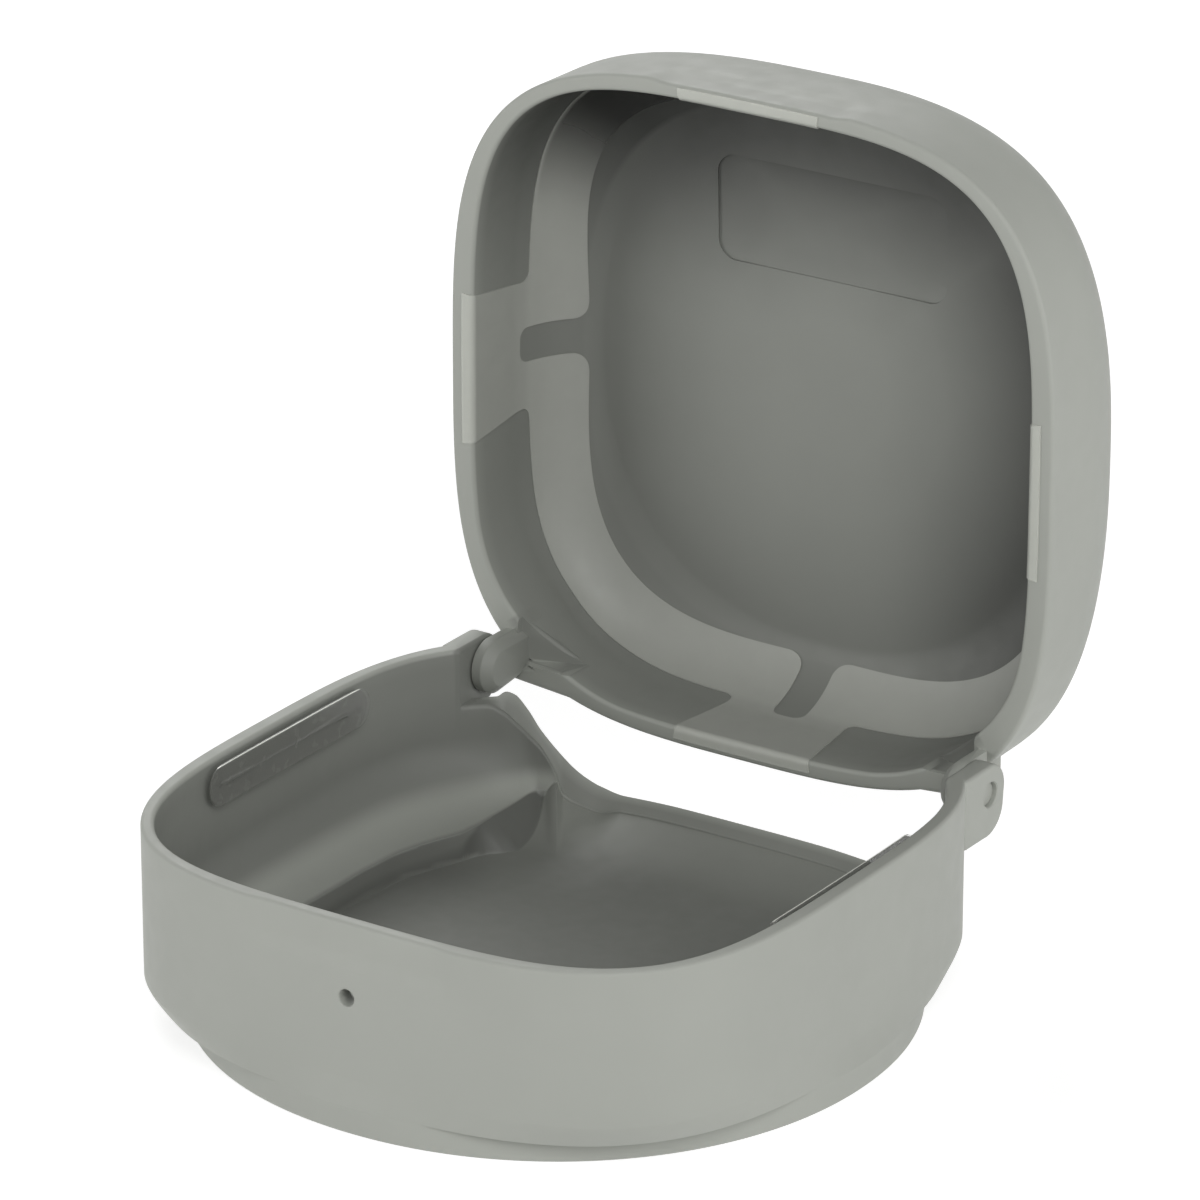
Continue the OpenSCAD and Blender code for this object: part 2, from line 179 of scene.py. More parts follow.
def pointsOf(mesh):
    co = np.zeros(len(mesh.vertices) * 3, np.float32)
    mesh.vertices.foreach_get("co", co)
    return co.reshape(-1, 3)


def outward(mesh):  # turns the mesh the right way round: the signed volume of a closed mesh is positive
    mesh.calc_loop_triangles()
    tri = np.zeros(len(mesh.loop_triangles) * 3, np.int32)
    mesh.loop_triangles.foreach_get("vertices", tri)
    p = pointsOf(mesh).astype(float)[tri.reshape(-1, 3)]
    if np.einsum("ij,ij->i", p[:, 0], np.cross(p[:, 1], p[:, 2])).sum() < 0:
        mesh.flip_normals()
    return mesh


def capped(name, rings):  # a closed skin whose poles are the middles of its first and last ring
    rings = np.array(rings)
    return outward(closedSkin(name, rings, rings[0].mean(0), rings[-1].mean(0)))


# A plate: the hull outline carried along x, or upwards, from x0 to x1 through steps of (way, depth). A way
# counts from x0, or back from x1 where it is below 0
def plate(name, discs, x0, x1, steps, side=1, axis="x"):
    rings, ahead = [], np.sign(x1 - x0)
    for way, depth in steps:
        y, z = discHull(discs, depth)
        x = np.full(len(y), (x0 if way >= 0 else x1) + way * ahead)
        rings.append(np.stack([x * side, y, z] if axis == "x" else [y * side, z, x], -1))
    return capped(name, rings)


def rounding(radius, count=5):  # quarter circle as (distance along, depth) from the face to the side
    a = np.linspace(0, np.pi / 2, count)
    return [(radius * (1 - np.cos(v)), radius * (1 - np.sin(v))) for v in a]


def bothEnds(first, last):  # steps for plate(): first from x0, last mirrored at x1
    return first + [(-way if way > 0 else grid["farEnd"], depth) for way, depth in reversed(last)]


# A turned piece: a profile of (way, radius) swept round a line along x at y and z, or along y at height z
def turned(name, profile, y, z, side=1, axis="x"):
    a = np.linspace(0, 2 * np.pi, grid["turned"], endpoint=False)
    rings = []
    for way, r in profile:
        along, up = np.full(len(a), way * side), z + r * np.sin(a)
        rings.append(np.stack([along, y + r * np.cos(a), up] if axis == "x" else [r * np.cos(a), along, up], -1))
    return capped(name, rings)


# Joins and cuts solids with the Boolean modifier in the order of the work list
def carve(mesh, work):
    body = addObject(mesh.name, mesh)
    tools = []
    for operation, toolMesh in work:
        tools.append(addObject(toolMesh.name, toolMesh))
        step = body.modifiers.new(operation, "BOOLEAN")
        step.operation, step.solver, step.object = operation, "MANIFOLD", tools[-1]
    result = bpy.data.meshes.new_from_object(body.evaluated_get(bpy.context.evaluated_depsgraph_get()))
    for obj in [body] + tools:
        bpy.data.objects.remove(obj)
    return result


def openLid(points):  # turns points of the shut lid about the hinge line to the open angle
    a = np.radians(-cover["openDegrees"])
    y, h = points[..., 1] - cover["hingeY"], points[..., 2] - cover["hingeH"]
    out = np.array(points, float)
    out[..., 1] = y * np.cos(a) - h * np.sin(a) + cover["hingeY"]
    out[..., 2] = y * np.sin(a) + h * np.cos(a) + cover["hingeH"]
    return out


# Puts a finished mesh in its place in metres, smooth but for creases sharper than an angle in degrees. share
# is an attribute's name and its function of t, r and h
def finishPiece(name, mesh, body, node, material, isLid=False, crease=32, share=None):
    co = pointsOf(mesh).astype(float)
    if share:
        values = share[1](np.arctan2(co[:, 0], co[:, 1]), np.hypot(co[:, 0], co[:, 1]), co[:, 2])
        layer = mesh.attributes.new(share[0], "FLOAT", "POINT")
        layer.data.foreach_set("value", values.astype(np.float32))
    if isLid:
        co = openLid(co)
    co[:, 2] += cover["rim"]
    mesh.vertices.foreach_set("co", (co / 1000).astype(np.float32).ravel())
    mesh.materials.clear()
    mesh.materials.append(material)
    mesh.shade_smooth()
    mesh.set_sharp_from_angle(angle=np.radians(crease))
    mesh.update()
    mesh.name = name
    obj = addObject(name, mesh)
    even = obj.modifiers.new("evenShading", "WEIGHTED_NORMAL")
    even.keep_sharp, even.weight = True, 50  # 50 weighs small and large faces alike
    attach(obj, body)
    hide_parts(node)
    print(name, len(mesh.polygons), "faces")


# A shader node with settings, and with the values of inputs that are given by name or by place
def addNode(tree, kind, values=None, **settings):
    node = tree.nodes.new("ShaderNode" + kind)
    for name, value in settings.items():
        setattr(node, name, value)
    setInputs(node, values or {})
    return node


def setInputs(node, values):
    for name, value in values.items():
        node.inputs[name].default_value = value


def link(tree, *pairs):
    for source, socket in pairs:
        tree.links.new(source, socket)


def newMaterial(name):  # a material with its node tree and its shader
    material = bpy.data.materials.new(name)
    material.use_nodes = True
    tree = material.node_tree
    return material, tree, tree.nodes["Principled BSDF"]


def noise(tree, scale, detail, coords, roughness=0.5):  # scale is in waves per metre
    node = addNode(tree, "TexNoise", {"Scale": scale, "Detail": detail, "Roughness": roughness})
    link(tree, (coords.outputs["Object"], node.inputs["Vector"]))
    return node.outputs["Fac"]


noiseRange = (0.3, 0.7)  # nearly all of a noise lies in it


def between(tree, source, low, high):  # spreads a noise over low to high
    node = addNode(tree, "MapRange", {"From Min": noiseRange[0], "From Max": noiseRange[1], "To Min": low,
                                      "To Max": high})
    link(tree, (source, node.inputs["Value"]))
    return node.outputs["Result"]


def addBump(tree, shader, height, strength, depth):
    bump = addNode(tree, "Bump", {"Strength": strength, "Distance": depth})
    link(tree, (height, bump.inputs["Height"]), (bump.outputs["Normal"], shader.inputs["Normal"]))


# inside is the grey that painted shade multiplies into the shells' colour
plastic = {"colour": (0.372, 0.384, 0.350), "cloudScale": 90, "paler": 1.02, "darker": 0.98, "roughScale": 600,
           "roughness": (0.50, 0.60), "specular": 0.4, "grainScale": 7000, "grainDetail": 0.6, "grainDepth": 0.000012,
           "grainBump": 0.35, "inside": 0.12}


def paintShade(tree, colour):  # painted shade: darkens a colour by the mesh's inside share, multiplying in the inside grey
    share = addNode(tree, "Attribute", attribute_name="inside")
    shadeMix = addNode(tree, "Mix", data_type="RGBA", blend_type="MULTIPLY")
    a, b = [i for i in shadeMix.inputs if i.type == "RGBA"]
    b.default_value = (*(plastic["inside"],) * 3, 1)
    link(tree, (share.outputs["Fac"], shadeMix.inputs["Factor"]), (colour, a))
    return [o for o in shadeMix.outputs if o.type == "RGBA"][0]


def mattePlastic(name, tone=1.0):  # fine matte plastic: faint clouds of tone, a fine even grain and painted shade from the inside share
    p = plastic
    material, tree, shader = newMaterial(name)
    coords, ramp = addNode(tree, "TexCoord"), addNode(tree, "ValToRGB")
    base = np.array(p["colour"]) * tone
    for stop, place, shade in zip(ramp.color_ramp.elements, noiseRange, (p["darker"], p["paler"])):
        stop.position, stop.color = place, (*(base * shade), 1)
    rough = between(tree, noise(tree, p["roughScale"], 2, coords), *p["roughness"])
    link(tree, (noise(tree, p["cloudScale"], 3, coords), ramp.inputs["Fac"]),
         (paintShade(tree, ramp.outputs["Color"]), shader.inputs["Base Color"]), (rough, shader.inputs["Roughness"]))
    setInputs(shader, {"Specular IOR Level": p["specular"]})
    addBump(tree, shader, noise(tree, p["grainScale"], 2, coords, p["grainDetail"]), p["grainBump"], p["grainDepth"])
    return material


film = {"hazeScale": 400, "hazeSpread": 0.012, "stops": (0.5, 0.8), "green": 1.02, "blue": 0.94, "roughScale": 900,
        "roughSpread": 0.04, "rippleScale": 350, "rippleBump": 0.2, "rippleDepth": 0.00002}


# Thin adhesive film, a haze over what lies under it. The attribute haze leads through the four greys and from the
# first alpha to the second; its highest values carry painted shade in the lid tape and a painted highlight on the
# liners
def clearFilm(name, greys, alpha, roughness):
    material, tree, shader = newMaterial(name)
    coords, tint = addNode(tree, "TexCoord"), addNode(tree, "ValToRGB")
    share = addNode(tree, "Attribute", attribute_name="haze").outputs["Fac"]
    haze = between(tree, noise(tree, film["hazeScale"], 3, coords), -film["hazeSpread"], film["hazeSpread"])
    thick, add = addNode(tree, "MapRange", {"To Min": alpha[0], "To Max": alpha[1]}), addNode(tree, "Math")
    for place in film["stops"]:
        tint.color_ramp.elements.new(place)
    for stop, grey in zip(tint.color_ramp.elements, greys):
        stop.color = (grey, grey * film["green"], grey * film["blue"], 1)
    low, high = roughness - film["roughSpread"], roughness + film["roughSpread"]
    rough = between(tree, noise(tree, film["roughScale"], 2, coords), low, high)
    link(tree, (share, thick.inputs["Value"]), (haze, add.inputs[0]), (thick.outputs["Result"], add.inputs[1]),
         (add.outputs[0], shader.inputs["Alpha"]), (share, tint.inputs["Fac"]),
         (tint.outputs["Color"], shader.inputs["Base Color"]), (rough, shader.inputs["Roughness"]))
    addBump(tree, shader, noise(tree, film["rippleScale"], 2, coords), film["rippleBump"], film["rippleDepth"])
    return material


shellPlastic = mattePlastic("warmGreyPlastic")
pinPlastic = mattePlastic("pinPlastic", 1.02)
# the lid film's last grey, 0.03, is painted shade for the ring in the shaded front
lidFilm = clearFilm("lidFilm", (0.76, 0.53, 0.53, 0.03), (0.42, 0.67), 0.5)
stripFilm = clearFilm("stripFilm", (0.3, 0.3, 0.3, 0.3), (0.6, 0.6), 0.25)
# the liner film's last grey at full alpha is a painted highlight along the liner's top edge
linerFilm = clearFilm("linerFilm", (0.24, 0.5, 0.74, 0.9), (0.15, 1.0), 0.16)
print("materials are made")

# The thumb scoop is shared by both shells
scoop = {"halfWidth": 9.2, "reach": 2.7, "depth": 0.3, "side": 2.2, "edge": 1.7, "edgeShare": 0.75, "front": 120}


def scoopDepth(t, r, h):  # full inside the half width and the reach, fading softly at the sides and ends
    across = soft((scoop["halfWidth"] - np.abs(r * np.sin(t))) / scoop["side"])
    along = soft((scoop["reach"] + scoop["edgeShare"] * scoop["edge"] - np.abs(h)) / scoop["edge"])
    return np.where(fold(t) < scoop["front"], 0, scoop["depth"] * across * along)


# Base shell. The tables go over the folded angle, and facetWidth over y. A blend is the start and the width of
# a smooth step over the folded angle
baseShell = {"columns": 660, "sideWall": 1.4, "endWall": 1.45, "wallStart": -12.06, "wallStartBack": -12.4,
             "startBlend": (25, 20), "footRadius": 27.15, "footRoundness": 2.06, "footTop": -14.17, "footEdge": 0.27,
             "underShare": 0.43, "underPower": 1.3, "outerEdge": 0.3, "innerEdge": 0.38, "cutEdge": 0.12,
             "edgeBlend": (29, 7), "floor": -14.4, "coveStart": -7.2, "wallEndLow": 48.55, "wallEndHigh": 48.95,
             "pad": [[0, 0], [38, 0], [42.3, 0.3], [48.8, 0.43], [57, 0.1], [63, 0], [180, 0]],
             "outerLip": [[0, -12.05], [14, -12.05], [23, -12.1], [27, -11.65], [29, -11.2], [31, -10.5],
                          [33, -9.48], [36.2, -7.4], [38, -5.8], [40, -4.5], [41.2, -4.28], [42.6, -4.66],
                          [49.8, -4.7]],
             "innerLip": [[0, -12.75], [16, -12.8], [23, -12.9], [27, -13.3], [30, -13.0], [32.8, -12.3],
                          [34, -10.6], [36.2, -8.6], [38, -7.6], [40, -6.5], [42, -5.5], [44.5, -4.85],
                          [49.8, -4.75]],
             "ledge": [[0, 31], [34.5, 30.0], [36.6, 28.95], [37.9, 28.4], [40, 27.1], [42.4, 25.8], [46, 24.2],
                       [49.7, 22.85], [53.8, 21.9], [60, 21.4], [68.4, 20.9], [78, 20.2], [90, 19.8], [107, 20.6],
                       [121, 22.3], [135, 23.4], [149, 22.2], [165, 20.3], [180, 19.8]],
             "ledgeHeight": -12.1, "steepBack": 33, "flatBack": 36,
             "riser": [[0, 3], [42.4, 3.3], [46, 1.9], [49.5, 0.6], [53.8, 0.2], [180, 0.2]],
             "riserPower": 1.8, "riserBlend": (44, 14), "facet": 17.4, "facetBlend": (48, 3),
             "facetWidth": [[13.5, 0.3], [14.96, 0.7], [16.15, 1.85], [17.3, 2.4], [30, 2.4]],
             "well": [[0, 17.2], [23, 18.8], [34.6, 20.6], [40, 21.2], [44, 21.3], [49, 21.2], [53.8, 20.7],
                      [60, 20.3], [68.4, 19.9], [78, 19.2], [90, 18.8], [107, 19.6], [121, 21.3], [135, 22.4],
                      [149, 21.2], [165, 19.3], [180, 18.8]],
             "slopeEnd": 17.2, "slopePower": 1.5, "slopeFillet": 0.12,
             "slopeTop": [[0, -11.9], [30, -11.9], [33.4, -11.1], [34.4, -11.4], [36, -12.4], [39, -13.2],
                          [46, -14.4]]}
ears = {"outer": 23.64, "inner": 21.9, "edge": 0.28, "hole": 0.97, "holeStart": 20.7, "holeEnd": 24.6, "chamfer": 0.1,
        "discs": [(22.8, -2.11, 2.1), (22.4, -3.36, 2.38), (19.6, -0.56, 0.55), (19.6, -5.17, 0.55)]}
# The indicator light's hole has a profile of (way in from the wall's face, widening)
lightHole = {"height": -5.78, "radius": 0.65,
             "profile": [(-1, 0.14), (-0.01, 0.14), (0.05, 0.03), (0.13, 0), (1.35, 0), (1.47, 0.1), (3, 0.1)]}


def baseOuter(t):
    return squircle(t, cover["half"], cover["half"], cover["squareness"])


innerHalves = cover["half"] - baseShell["sideWall"], cover["half"] - baseShell["endWall"]


def baseInner(t):  # with a thicker wall at the ears
    return squircle(t, *innerHalves, cover["innerSquareness"]) - through(baseShell["pad"], fold(t))


def ledgeEdge(t):  # radius of the ledge's inner edge
    return np.minimum(through(baseShell["ledge"], fold(t)), baseInner(t) - 0.25)


# Rows of (radius, height), from the foot's middle up the outside, over the rim and down inside to the floor
def baseRows(t):
    b = baseShell
    f = fold(t)
    out, ins = baseOuter(t), baseInner(t)
    foot = squircle(t, b["footRadius"], b["footRadius"], b["footRoundness"])
    atRim = f > (b["wallEndLow"] + b["wallEndHigh"]) / 2
    lipOut = np.where(atRim, 0, through(b["outerLip"], f))
    lipIn = np.where(atRim, 0, through(b["innerLip"], f))
    start = mix(b["wallStartBack"], b["wallStart"], fade(f, *b["startBlend"]))
    start = np.minimum(start, lipOut - b["outerEdge"] - 0.05)
    bottom, e = -cover["rim"], b["footEdge"]
    rows = [(foot * k, bottom) for k in (0.3, 0.6, 0.85, 0.97)]
    for a in np.linspace(0, np.pi / 2, 6):  # rounded lower edge of the foot
        rows.append((foot - e + e * np.sin(a), bottom + e * (1 - np.cos(a))))
    rows += [(foot, mix(bottom + e, b["footTop"], k)) for k in (0.25, 0.5, 0.75, 0.93)]
    d = foot - out

    def under(share):  # from the foot's radius, or part of the way to it, up to the straight wall
        return out + np.where(d > 0, d, d * b["underShare"]) * share ** b["underPower"]
    lap = under(1) - foot
    rows += [(foot + lap * k, b["footTop"] + 0.02 + 0.03 * k) for k in (0.03, 0.3, 0.6, 0.9, 0.985)]
    for share in (0.995, 0.97, 0.93, 0.87, 0.8, 0.7, 0.6, 0.5, 0.4, 0.3, 0.2, 0.12, 0.05):
        rows.append((under(share), mix(start, b["footTop"] + 0.06, share)))
    steps = np.concatenate([np.linspace(0, 0.7, 9), np.linspace(0.72, 0.83, 10), np.linspace(0.86, 1, 5)])
    for u in steps:  # straight wall, with closer rows where the scoop begins
        h = mix(start, lipOut - b["outerEdge"], u)
        rows.append((out - scoopDepth(t, out, h), h))
    rim = out - scoopDepth(t, out, 0 * t)
    e = b["outerEdge"]
    rows += [(rim - x, lipOut - y) for x, y in rounding(e, 7)[1:]]  # outer edge of the rim
    g = mix(b["cutEdge"], b["innerEdge"], fade(f, *b["edgeBlend"]))
    rows.append(((rim - e + ins + g) / 2, (lipOut + lipIn) / 2))
    rows += [(ins + y, lipIn - x) for x, y in rounding(g, 7)]  # inner edge of the rim
    top = lipIn - g
    ledge = ledgeEdge(t)
    ledgeH = np.minimum(b["ledgeHeight"], top - 0.3)
    turn = np.maximum(np.minimum(b["coveStart"], top - 0.15), np.where(f < b["steepBack"], top - 0.03, -99))
    low = b["floor"]
    width = through(b["riser"], f)
    power = mix(1, b["riserPower"], fade(f, *b["riserBlend"]))

    def slope(r):  # rear slope: from the opening's inner edge down to the floor
        q = np.clip((r * np.cos(t) - b["slopeEnd"]) / np.maximum(ins * np.cos(t) - b["slopeEnd"], 4), 0, 1)
        return low + (np.minimum(top - 0.05, through(b["slopeTop"], f)) - low) * q ** b["slopePower"]

    def riser(r):  # step down to the floor: round the sides from the ledge's edge, at the back a flat facet
        side = ledgeH - (ledgeH - low) * np.clip((ledge - r) / width, 0, 1) ** power
        way = np.clip((b["facet"] - r * np.abs(np.sin(t))) / through(b["facetWidth"], r * np.cos(t)), 0, 1)
        return mix(b["ledgeHeight"] - (b["ledgeHeight"] - low) * way, side, fade(f, *b["facetBlend"]))
    rows += [(ins, mix(top, turn, u)) for u in (0.15, 0.4, 0.7, 1)]
    for a in np.linspace(0, np.pi / 2, 19)[1:]:  # cove: a quarter of an ellipse down to the ledge
        r = mix(ins, ledge, 1 - np.cos(a))
        flat = np.maximum(mix(turn, ledgeH, np.sin(a)), slope(r))
        rows.append((r, np.where(f < b["flatBack"], np.minimum(flat, np.maximum(turn, b["ledgeHeight"])), flat)))
    well = np.minimum(through(b["well"], f), ledge - width)
    for u in np.concatenate([np.linspace(0, 1, 61)[1:], (1.03, 1.08)]):
        r = mix(ledge, well, u)
        rows.append((r, -smoothLeast(-np.maximum(riser(r), low), -np.maximum(slope(r), low), b["slopeFillet"])))
    last = mix(ledge, well, 1.12)
    rows += [(last * u, low + 0 * t) for u in (0.9, 0.7, 0.4)]
    return rows


def makeBase():
    b = baseShell
    t = columnAngles(b["columns"], lambda f: 1 + 2.2 * (np.abs(f - 36) < 17), (b["wallEndLow"], b["wallEndHigh"]))
    skin = closedSkin("baseSkin", ringPoints(t, baseRows(t)), (0, 0, -cover["rim"]), (0, 0, b["floor"]))
    edge = rounding(ears["edge"])
    work = [("UNION", plate("ear", ears["discs"], ears["inner"], ears["outer"], bothEnds(edge, edge), side))
            for side in (1, -1)]
    r, wide, face = ears["hole"], ears["hole"] + ears["chamfer"], ears["outer"]
    bore = [(ears["holeStart"], r), (23.5, r), (face - 0.1, r), (face + 0.02, wide), (ears["holeEnd"], wide)]
    work += [("DIFFERENCE", turned("bore", bore, cover["hingeY"], cover["hingeH"], side)) for side in (1, -1)]
    hole = [(way - cover["half"], lightHole["radius"] + more) for way, more in lightHole["profile"]]
    work.append(("DIFFERENCE", turned("hole", hole, 0, lightHole["height"], 1, "y")))
    return carve(outward(skin), work)


# Painted shade inside the base: each tone is a share of painted shade, 0 outside. Least on the floor's middle and the
# foot of the cove, more on the wall and most on the step. The cut of the opening and the ears' inner sides get painted
# shade too
baseTone = {"wallTop": 0.42, "wall": 0.56, "wallFade": (3, 5), "coveFoot": 0.1, "coveFade": (9.8, 1.5), "floor": 0.5,
            "floorEdge": 0.18, "floorFade": (13, 9), "floorBlend": (42, 20), "ramp": 0.36, "rampFade": (17.2, 5),
            "facet": 0.74, "step": 0.78, "backEnd": 50.5, "backFade": 2, "cut": 0.4, "ear": 0.5}


def baseInside(t, r, h):
    b, k, f = baseShell, baseTone, fold(t)
    wide, ins, x, y = baseOuter(t), baseInner(t), np.abs(r * np.sin(t)), r * np.cos(t)
    under = np.clip((b["wallStart"] - h) / (b["wallStart"] - b["footTop"]), 0, 1) ** b["underPower"]
    out = np.where(h > b["footTop"] + 0.04, wide - b["underShare"] * np.maximum(wide - b["footRadius"], 0) * under,
                   np.minimum(wide, b["footRadius"]))
    inner = soft((out - r - 0.6) / 0.3) * soft((-0.1 - h) / 0.35) * (h > b["floor"] - 0.8)
    cut = k["cut"] * soft((out - r - 0.15) / 0.5) * soft((49.7 - f) / 1.5) * soft((r - ins + 0.15) / 0.3) * (h < -3.9)
    ear = k["ear"] * soft((22.3 - x) / 0.3) * fade(x, 21.2, 0.3) * (y > 18.3) * (h > -6) * (r > out - 2.2)
    ledge = ledgeEdge(t)
    wall = mix(k["wallTop"], k["wall"], fade(-h, *k["wallFade"]))
    low = mix(wall, k["coveFoot"], fade(-h, *k["coveFade"]) * soft((r - ledge + 0.1) / 0.3))
    floor = k["floor"] + k["floorEdge"] * fade(r, *k["floorFade"]) * fade(f, *k["floorBlend"])
    ramp = mix(floor, k["ramp"], fade(y, *k["rampFade"]))
    foot = b["facet"] - through(b["facetWidth"], y) + 0.046 * np.maximum(y - 17, 0) ** 2
    step = k["step"] * soft((h - b["floor"] - 0.1) / 0.3) * soft((ledge - r + 0.1) / 0.3)
    back = mix(ramp, k["facet"], soft((x - foot) / 0.2 + 0.5))
    deep = mix(np.maximum(floor, step), back, soft((k["backEnd"] - f) / k["backFade"]))
    share = np.where((h < b["ledgeHeight"] - 0.1) | (r < ledge - 0.05), deep, low)
    return np.maximum(np.maximum(inner * share, cut), ear)


finishPiece("baseShell", makeBase(), "base", "base_shell", shellPlastic,
            crease=26, share=("inside", baseInside))
print("base shell is made")

# The lid is drawn shut and then opened. The pad table goes over the folded angle
lidShell = {"columns": 640, "sideWall": 2.0, "endWall": 1.45, "height": 13.3, "ceiling": 12.0, "crown": 0.6,
            "shoulder": 6.0, "innerShoulder": 5.6, "turnIn": 0.1, "shrink": 0.152, "innerShrink": 0.18,
            "roundness": 2.06, "innerRoundness": 2.25, "power": 1.07, "gap": 0.18, "outerEdge": 0.35,
            "innerEdge": 0.35, "draft": 60,
            "pad": [[0, 0], [24, 0], [28.7, 0.14], [33, 0.38], [38, 0.6], [45, 0.9], [51, 0.55], [58, 0.12], [63, 0],
                    [180, 0]]}
arms = {"inner": 20.15, "outer": 21.75, "radius": 2.2, "back": 1.75, "top": 2.3, "corner": 0.75, "bevel": 0.75,
        "bevelDepth": 0.7, "edge": 0.12, "hole": 1.0, "holeStart": 0.45, "holeEnd": 22.4}
# Discs (x, y) of the rim's thick corners, of the gussets with their foot in the wall, and of the room above them
corners = {"edge": 0.3,
           "blockTop": [(21.2, 24.4), (20.0, 24.1), (18.6, 23.75), (17.0, 23.68), (15.4, 24.1), (14.2, 25.1),
                        (19.4, 24.5), (21.2, 24.5)],
           "blockLow": [(21.2, 23.66), (20.0, 23.66), (18.6, 23.64), (17.0, 23.66), (15.4, 24.15), (14.2, 25.1),
                        (19.4, 24.5), (21.2, 24.5)],
           "web": [(21.17, 19.65), (16.45, 23.6), (21.17, 23.8)], "webEnd": [(22.6, 21.4), (18.4, 24.6), (22.6, 24.6)],
           "webRadius": 0.27, "webTop": 1.0, "webFall": 0.49, "webEdge": 0.26, "webDeep": 4.5,
           "room": [(20.6, 18), (20.6, 23.36), (17.0, 23.36), (15.6, 23.45), (14.2, 23.0), (13.0, 21), (13.0, 18)]}
panel = {"halfWidth": 10.2, "front": -17.1, "length": 8.6, "corner": 1.6, "depth": 0.2, "below": 1.2}


def lidOuter(t):
    return squircle(t, cover["lidHalf"], cover["lidHalf"], cover["squareness"])


def lidOuterPoint(t, u):  # the shoulder: radius shrinks and grows rounder while the height rises, by quarter turns
    k, c, s = lidShell, max(np.cos(np.pi / 2 * u), 0), np.sin(np.pi / 2 * u)
    n = mix(cover["squareness"], k["roundness"], s * s)
    half = cover["lidHalf"] - k["turnIn"]
    size = 1 - k["shrink"] * (1 - c ** k["power"])
    return size * squircle(t, half, half, n), mix(k["shoulder"], k["height"], s ** k["power"]) + 0 * t


def lidInnerPoint(t, u):  # the same inside, to the edge of the ceiling, with a thicker wall at the hinge corners
    k, c, s = lidShell, np.maximum(np.cos(np.pi / 2 * u), 0), np.sin(np.pi / 2 * u)
    n = mix(cover["innerSquareness"], k["innerRoundness"], s * s)
    a, b = cover["lidHalf"] - k["sideWall"], cover["lidHalf"] - k["endWall"]
    size = 1 - k["innerShrink"] * (1 - c ** k["power"])
    pad = through(k["pad"], fold(t)) * (1 - s) ** 2
    return size * squircle(t, a, b, n) - pad, mix(k["innerShoulder"], k["ceiling"], s ** k["power"]) + 0 * t


def ceilingHeight(x, y):  # the shallow crown over the ceiling
    k = np.hypot(x, y) / lidInnerPoint(np.arctan2(x, y), 1)[0]
    return lidShell["ceiling"] + (1 - k * k) * lidShell["crown"]


def lidRows(t):  # from the ceiling's middle down the inside, round the rim and up the outside
    s = lidShell
    ins = lidInnerPoint(t, 0)[0]
    out = lidOuter(t)
    crown = (0.25, 0.5, 0.7, 0.85, 0.95)
    rows = [(lidInnerPoint(t, 1)[0] * k, s["ceiling"] + (1 - k * k) * s["crown"]) for k in crown]
    rows += [lidInnerPoint(t, u) for u in np.linspace(1, 0, 26)]
    g, e = s["gap"], s["innerEdge"]
    rows += [(ins, mix(s["innerShoulder"], g + e, u)) for u in (0.25, 0.5, 0.75)]
    rows += [(ins + x, g + y) for x, y in rounding(e, 7)]  # inner edge of the rim
    rim = out - scoopDepth(t, out, 0 * t)
    e = s["outerEdge"]
    rows.append(((rim - e + ins + s["innerEdge"]) / 2, g + 0 * t))
    rows += [(rim - y, g + x) for x, y in rounding(e, 7)]  # outer edge of the rim
    for h in np.concatenate([np.linspace(0.8, 2.2, 4), np.linspace(2.35, 3.45, 10), np.linspace(3.8, 5.6, 5)]):
        rows.append((out - scoopDepth(t, out, h) - h / s["draft"], h + 0 * t))
    rows += [lidOuterPoint(t, u) for u in np.linspace(0, 1, 26)]
    rows += [(lidOuterPoint(t, 1)[0] * k, s["height"] + (1 - k * k) * s["crown"]) for k in reversed(crown)]
    return rows


def sloped(mesh):  # lifts the points over the parting plane by the fall of the gusset away from the arm
    co = pointsOf(mesh)
    co[:, 2] += np.where(co[:, 2] > 0, corners["webFall"] * (arms["inner"] - np.abs(co[:, 0])), 0)
    mesh.vertices.foreach_set("co", co.ravel())
    return mesh


# Gusset: its three-cornered outline has a rounded upper edge and sinks into the wall as it goes deeper
def webSolid(side):
    c, e, rings = corners, corners["webEdge"], []
    for down, depth in rounding(e) + [(e + c["webDeep"] * u, 0) for u in (0.05, 0.12, 0.2, 0.3, 0.45, 0.6, 0.8, 1)]:
        lean = max(0, (down - e) / c["webDeep"])
        corner = mix(np.array(c["web"]), np.array(c["webEnd"]), lean)
        x, y = discHull([(cx * side, cy, c["webRadius"]) for cx, cy in corner], depth)
        limit = lidOuter(np.arctan2(x, y)) - 0.4 - 1.2 * lean  # never further out than the lid's own outline
        k = np.minimum(1, limit / np.hypot(x, y))
        rings.append(np.stack([x * k, y * k, c["webTop"] + down + 0 * x], -1))
    return sloped(capped("gusset", rings))


def cornerBlock(side):  # thick corner of the rim: its front face leans towards the gusset
    rings, e = [], corners["edge"]
    for down, depth in rounding(e) + [(d, 0) for d in (0.45, 0.6, 0.82, 1.2, 1.7, 2.17)]:
        discs = mix(np.array(corners["blockTop"]), np.array(corners["blockLow"]), np.clip((down - 0.1) / 0.72, 0, 1))
        x, y = discHull([(x * side, y, e) for x, y in discs], depth)
        rings.append(np.stack([x, y, lidShell["gap"] + down + 0 * x], -1))
    return capped("corner", rings)


